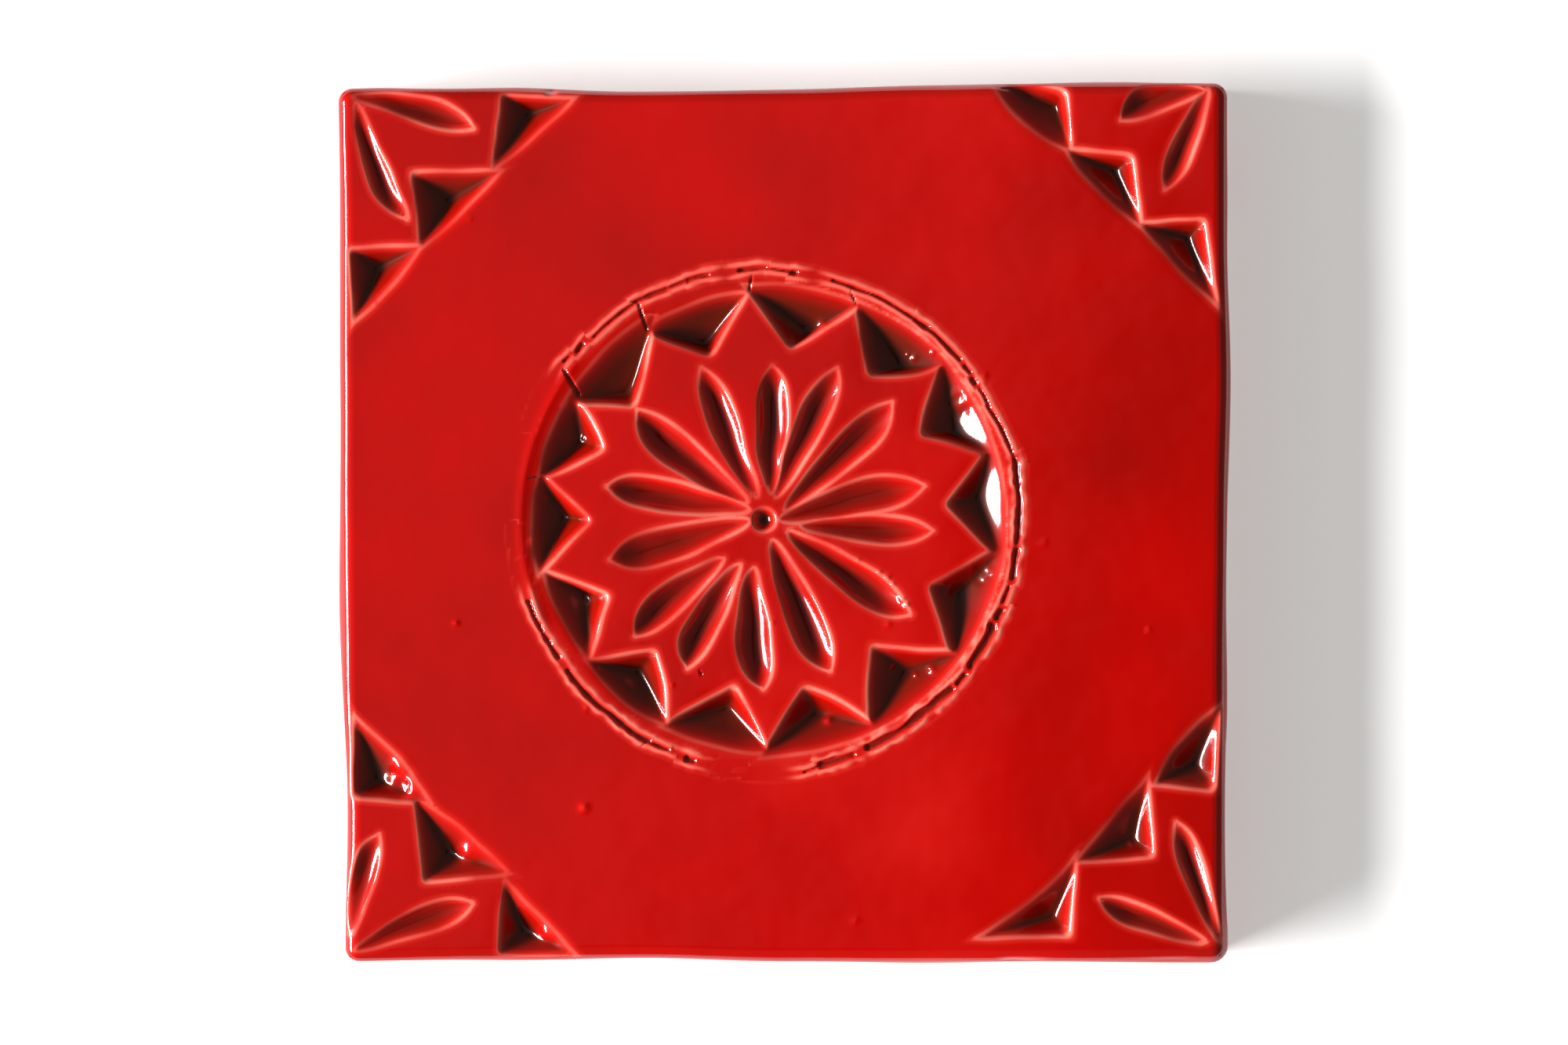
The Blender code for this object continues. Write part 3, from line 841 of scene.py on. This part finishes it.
def rim_order(used):
    """The face mesh's outermost vertices, anticlockwise from the lower left corner."""
    used = used.reshape(STEPS + 1, STEPS + 1)
    index = np.arange(used.size).reshape(used.shape)
    sides = [(used[0], index[0]), (used[:, -1], index[:, -1])]
    sides += [(used[-1, ::-1], index[-1, ::-1]), (used[::-1, 0], index[::-1, 0])]
    return np.concatenate([ids[there][:-1] for there, ids in sides])


# Mesh of the sides and the back, as rings that follow the face's rim

def side_profile():
    """(inset, height) from just under the face's rim, down the side and round the foot."""
    start = math.acos((TOP_ROUND - RIM_INSET) / TOP_ROUND)
    profile = []
    for turn in np.linspace(start, 0, TOP_RINGS + 1)[1:]:
        profile.append((TOP_ROUND * (1 - math.cos(turn)), THICKNESS - TOP_ROUND * (1 - math.sin(turn))))
    for height in np.linspace(THICKNESS - TOP_ROUND, FOOT_ROUND, SIDE_RINGS)[1:]:
        profile.append((0.0, height))
    for turn in np.linspace(0, math.pi / 2, FOOT_RINGS + 1)[1:]:
        profile.append((FOOT_ROUND * (1 - math.cos(turn)), FOOT_ROUND * (1 - math.sin(turn))))
    return profile


def ring_noise(count, rows, along, down, seed):
    """Smooth random values over the side faces, which close up all the way round."""
    drawn = np.random.default_rng(seed).standard_normal((rows, count))
    turns = np.fft.fftfreq(rows)[:, None]
    half_turns = np.fft.rfftfreq(count)[None, :]
    fall = np.exp(-2 * math.pi**2 * ((turns * down) ** 2 + (half_turns * along) ** 2))
    smooth = np.fft.irfft2(np.fft.rfft2(drawn) * fall, s=drawn.shape)
    return smooth / smooth.std()


def side_rings(rim):
    """Rings of points from the face's rim to the back, and the bare foot's height round them."""
    count = len(rim)
    outward = outward_normals(rim[:, 0], rim[:, 1])
    profile = side_profile()
    sway_size, sway_along, sway_down, sway_seed = SIDE_WAVE
    sway = ring_noise(count, len(profile), sway_along, sway_down, sway_seed)
    foot = FOOT_HEIGHT
    for size, length, seed in FOOT_WAVES:
        foot = foot + size * ring_noise(count, 1, length, 1, seed)[0]
    foot = np.maximum(foot, LOWEST_FOOT)
    lift = rim[:, 2] - (THICKNESS - edge_drop(RIM_INSET))
    rings = []
    for row, (inset, level) in enumerate(profile):
        stand = RIM_INSET - inset + sway_size * sway[row] * min(1, row / SWAY_RINGS)
        flat = rim[:, :2] + outward * stand[:, None]
        rings.append(np.column_stack([flat, level + lift * max(0.0, 1 - row / LIFT_RINGS)]))
    edge = rings[-1][:, :2]
    for share in BACK_RINGS:
        rings.append(np.column_stack([edge * share, np.zeros(count)]))
    return rings, foot


def side_attributes(rings, foot):
    """Glaze depth, thick in the roll above the bare foot, and bare clay, for the rings and the centre."""
    levels = np.concatenate([ring[:, 2] for ring in rings])
    feet = np.tile(foot, len(rings))
    glaze = SIDE_GLAZE + ROLL_GLAZE * np.exp(-(((levels - feet - ROLL_ABOVE) / ROLL_REACH) ** 2))
    bare = np.clip((feet - levels) / FOOT_BLEND + 0.5, 0, 1)
    count = len(levels) + 1
    return {
        "edge_distance": np.full(count, NOWHERE_NEAR),
        "glaze_depth_and_shade": np.append(glaze, BACK_GLAZE),
        "thin_glaze": np.zeros(count),
        "bare_clay": np.append(bare, 1.0),
    }


def tile_mesh():
    """Points, four-sided and three-sided faces, named values at the points, and the face's normals."""
    maps, groove = glazed_face()
    height = maps["height"]
    squares, fans = face_polygons(split_cells(wanted_cells(height, maps["edge_distance"], groove)))
    used = np.zeros(X.size, bool)
    used[squares] = True
    used[fans] = True
    ids = np.cumsum(used) - 1
    places = np.stack([X, Y, THICKNESS + height], -1).reshape(-1, 3)[used]
    rim = ids[rim_order(used)]
    rings, foot = side_rings(places[rim])

    count, first = len(rim), len(places)
    ring_ids = [rim] + [first + row * count + np.arange(count) for row in range(len(rings))]
    centre = first + len(rings) * count
    quads = [ids[squares]]
    for upper, lower in zip(ring_ids, ring_ids[1:]):
        quads.append(np.stack([lower, np.roll(lower, -1), np.roll(upper, -1), upper], 1))
    last = ring_ids[-1]
    closing = np.stack([np.full(count, centre), np.roll(last, -1), last], 1)
    points = np.concatenate([places, *rings, np.zeros((1, 3))])

    maps["bare_clay"] = np.zeros(X.shape)
    values = {
        name: np.concatenate([maps[name].reshape(-1)[used], side])
        for name, side in side_attributes(rings, foot).items()
    }
    normals = np.zeros((len(points), 3))
    normals[:first] = face_normals(height).reshape(-1, 3)[used]
    return points, np.concatenate(quads), np.concatenate([ids[fans], closing]), values, normals


def face_normals(height):
    """The height map's own normals, which are finer than its mesh."""
    samples = np.stack([X, Y, height], -1)
    normals = np.cross(np.gradient(samples, axis=1), np.gradient(samples, axis=0))
    return normals / np.linalg.norm(normals, axis=-1, keepdims=True)


def outward_normals(x, y):
    reach = 0.02
    slope_x = inside_distance(x + reach, y) - inside_distance(x - reach, y)
    slope_y = inside_distance(x, y + reach) - inside_distance(x, y - reach)
    out = -np.stack([slope_x, slope_y], 1)
    return out / np.linalg.norm(out, axis=1)[:, None]


# Materials

def link(tree, source, target):
    tree.links.new(source, target)


def add_node(tree, kind, **values):
    made = tree.nodes.new(kind)
    for name, value in values.items():
        setattr(made, name, value)
    return made


def attribute(tree, name):
    return add_node(tree, "ShaderNodeAttribute", attribute_name=name).outputs["Fac"]


def ramp(tree, source, stops):
    made = add_node(tree, "ShaderNodeValToRGB")
    link(tree, source, made.inputs["Fac"])
    elements = made.color_ramp.elements
    while len(elements) < len(stops):
        elements.new(1.0)
    for element, (place, colour) in zip(elements, stops):
        element.position = place
        element.color = (*colour, 1.0)
    return made.outputs["Color"]


def math_node(tree, operation, first, second, clamp=False):
    made = add_node(tree, "ShaderNodeMath", operation=operation, use_clamp=clamp)
    for socket, value in zip(made.inputs, (first, second)):
        if isinstance(value, (int, float)):
            socket.default_value = value
        else:
            link(tree, value, socket)
    return made.outputs[0]


def soft_step(tree, source, none, full):
    """Rises smoothly from 0 to 1 as the source goes from one value to another."""
    made = add_node(tree, "ShaderNodeMapRange", interpolation_type="SMOOTHSTEP")
    link(tree, source, made.inputs["Value"])
    made.inputs["From Min"].default_value = none
    made.inputs["From Max"].default_value = full
    return made.outputs["Result"]


def noise(tree, coordinates, scale, detail=2.0):
    made = add_node(tree, "ShaderNodeTexNoise")
    made.inputs["Scale"].default_value = scale
    made.inputs["Detail"].default_value = detail
    link(tree, coordinates, made.inputs["Vector"])
    return made.outputs["Fac"]


def mix_colours(tree, factor, first, second):
    made = add_node(tree, "ShaderNodeMix", data_type="RGBA")
    link(tree, factor, made.inputs["Factor"])
    for socket, value in ((made.inputs[6], first), (made.inputs[7], second)):
        if isinstance(value, tuple):
            socket.default_value = (*value, 1.0)
        else:
            link(tree, value, socket)
    return made.outputs[2]


def glaze_colour(tree, coordinates):
    """Red by the glaze's depth, which carries painted shade as well, paler where it breaks over the cuts'
    edges.
    """
    scale, strength = MOTTLE
    centred = math_node(tree, "SUBTRACT", noise(tree, coordinates, scale), 0.5)
    mottle = math_node(tree, "MULTIPLY", centred, strength)
    depth = math_node(tree, "ADD", attribute(tree, "glaze_depth_and_shade"), mottle, clamp=True)
    # The ramp's dark end is partly painted shade in the cuts
    colour = ramp(tree, depth, GLAZE_AND_SHADE_STOPS)

    from_edge = math_node(tree, "ADD", attribute(tree, "edge_distance"), EDGE_OUTSIDE)
    off = math_node(tree, "ABSOLUTE", from_edge, 0.0)
    thin = attribute(tree, "thin_glaze")
    for reach, core, strength, shade in EDGE_BREAKS:
        near = math_node(tree, "MULTIPLY", soft_step(tree, off, reach, core), thin)
        worn = math_node(tree, "MULTIPLY", near, strength, clamp=True)
        colour = mix_colours(tree, worn, colour, shade)
    return colour


def glaze_material():
    material = bpy.data.materials.new("red_glaze_over_clay")
    material.use_nodes = True
    tree = material.node_tree
    shader = tree.nodes["Principled BSDF"]
    coordinates = add_node(tree, "ShaderNodeTexCoord").outputs["Object"]

    bare = attribute(tree, "bare_clay")
    clay = ramp(tree, noise(tree, coordinates, *CLAY_SPECKLE), CLAY_STOPS)
    colour = mix_colours(tree, bare, glaze_colour(tree, coordinates), clay)
    link(tree, colour, shader.inputs["Base Color"])
    rougher = math_node(tree, "MULTIPLY", bare, CLAY_ROUGHER)
    link(tree, math_node(tree, "ADD", rougher, GLAZE_ROUGHNESS), shader.inputs["Roughness"])
    shader.inputs["IOR"].default_value = GLAZE_IOR

    bump = add_node(tree, "ShaderNodeBump")
    bump.inputs["Strength"].default_value = BUMP_STRENGTH
    bump.inputs["Distance"].default_value = BUMP_DISTANCE
    link(tree, noise(tree, coordinates, *BUMP_SCALE), bump.inputs["Height"])
    link(tree, bump.outputs["Normal"], shader.inputs["Normal"])
    return material


def make_tile():
    points, quads, triangles, values, normals = tile_mesh()
    data = bpy.data.meshes.new("glazed_tile")
    corners = np.concatenate([quads.reshape(-1), triangles.reshape(-1)])
    sizes = np.concatenate([np.full(len(quads), 4), np.full(len(triangles), 3)])
    starts = np.concatenate([[0], np.cumsum(sizes)[:-1]])
    data.vertices.add(len(points))
    data.vertices.foreach_set("co", (points * MM).astype(np.float32).reshape(-1))
    data.loops.add(len(corners))
    data.loops.foreach_set("vertex_index", corners.astype(np.int32))
    data.polygons.add(len(sizes))
    data.polygons.foreach_set("loop_start", starts.astype(np.int32))
    data.polygons.foreach_set("use_smooth", np.ones(len(sizes), bool))
    data.update(calc_edges=True)
    for name, at_points in values.items():
        layer = data.attributes.new(name, "FLOAT", "POINT")
        layer.data.foreach_set("value", at_points.astype(np.float32))
    data.normals_split_custom_set_from_vertices(normals)
    data.materials.append(glaze_material())
    tile = bpy.data.objects.new("glazed_tile", data)
    bpy.context.scene.collection.objects.link(tile)
    return tile


# Setting

def make_floor():
    ends = (-FLOOR_HALF, FLOOR_HALF)
    corners = [(ends[0], ends[0], 0), (ends[1], ends[0], 0), (ends[1], ends[1], 0), (ends[0], ends[1], 0)]
    data = bpy.data.meshes.new("floor")
    data.from_pydata(corners, [], [(0, 1, 2, 3)])
    floor = bpy.data.objects.new("floor", data)
    material = bpy.data.materials.new("pale_floor")
    material.use_nodes = True
    shader = material.node_tree.nodes["Principled BSDF"]
    shader.inputs["Base Color"].default_value = (FLOOR_GREY, FLOOR_GREY, FLOOR_GREY, 1)
    shader.inputs["Roughness"].default_value = FLOOR_ROUGHNESS
    shader.inputs["Emission Color"].default_value = (1, 1, 1, 1)
    shader.inputs["Emission Strength"].default_value = FLOOR_GLOW
    data.materials.append(material)
    bpy.context.scene.collection.objects.link(floor)
    floor.location.z = -FLOOR_DROP


def make_key_light():
    """The window, turned towards the tile. Returns its direction from there."""
    towards = Vector((
        math.cos(KEY_ELEVATION) * math.cos(KEY_AZIMUTH),
        math.cos(KEY_ELEVATION) * math.sin(KEY_AZIMUTH),
        math.sin(KEY_ELEVATION),
    ))
    data = bpy.data.lights.new("window_light", "AREA")
    data.shape = "ELLIPSE"
    data.size, data.size_y = KEY_SIZE
    data.energy = KEY_ENERGY
    key = bpy.data.objects.new("window_light", data)
    key.location = towards * KEY_AWAY
    key.rotation_euler = (-key.location).to_track_quat("-Z", "Y").to_euler()
    bpy.context.scene.collection.objects.link(key)
    return towards


def share_along(tree, direction, axis):
    """How far a direction points along an axis, from 0 against it to 1 with it."""
    made = add_node(tree, "ShaderNodeVectorMath", operation="DOT_PRODUCT")
    link(tree, direction, made.inputs[0])
    made.inputs[1].default_value = tuple(axis)
    half = math_node(tree, "MULTIPLY", made.outputs["Value"], 0.5)
    return math_node(tree, "ADD", half, 0.5)


def make_room(towards_key):
    """Dim walls with a glow round the window, and a pale ceiling that ends right of the middle."""
    world = bpy.data.worlds.new("soft_room")
    bpy.context.scene.world = world
    world.use_nodes = True
    tree = world.node_tree
    direction = add_node(tree, "ShaderNodeTexCoord").outputs["Generated"]
    ceiling = ramp(tree, share_along(tree, direction, CEILING_AXIS), CEILING_STOPS)
    overhead = soft_step(tree, share_along(tree, direction, UP), *CEILING_STARTS)
    room = mix_colours(tree, overhead, WALL_LIGHT, ceiling)
    glow = ramp(tree, share_along(tree, direction, towards_key), GLOW_STOPS)
    both = add_node(tree, "ShaderNodeMix", data_type="RGBA", blend_type="ADD")
    both.inputs["Factor"].default_value = 1.0
    link(tree, room, both.inputs[6])
    link(tree, glow, both.inputs[7])
    link(tree, both.outputs[2], tree.nodes["Background"].inputs["Color"])


def make_camera():
    """A camera that looks straight down, as the photograph does."""
    data = bpy.data.cameras.new("camera")
    data.lens = LENS
    data.sensor_width = SENSOR
    data.clip_start = CAMERA_NEAREST
    camera = bpy.data.objects.new("camera", data)
    camera.location = (0, 0, CAMERA_HEIGHT)
    bpy.context.scene.collection.objects.link(camera)
    bpy.context.scene.camera = camera
    bpy.context.scene.view_settings.view_transform = "Standard"


tile = make_tile()
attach(tile, "root")
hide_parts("tile")
make_floor()
make_room(make_key_light())
make_camera()
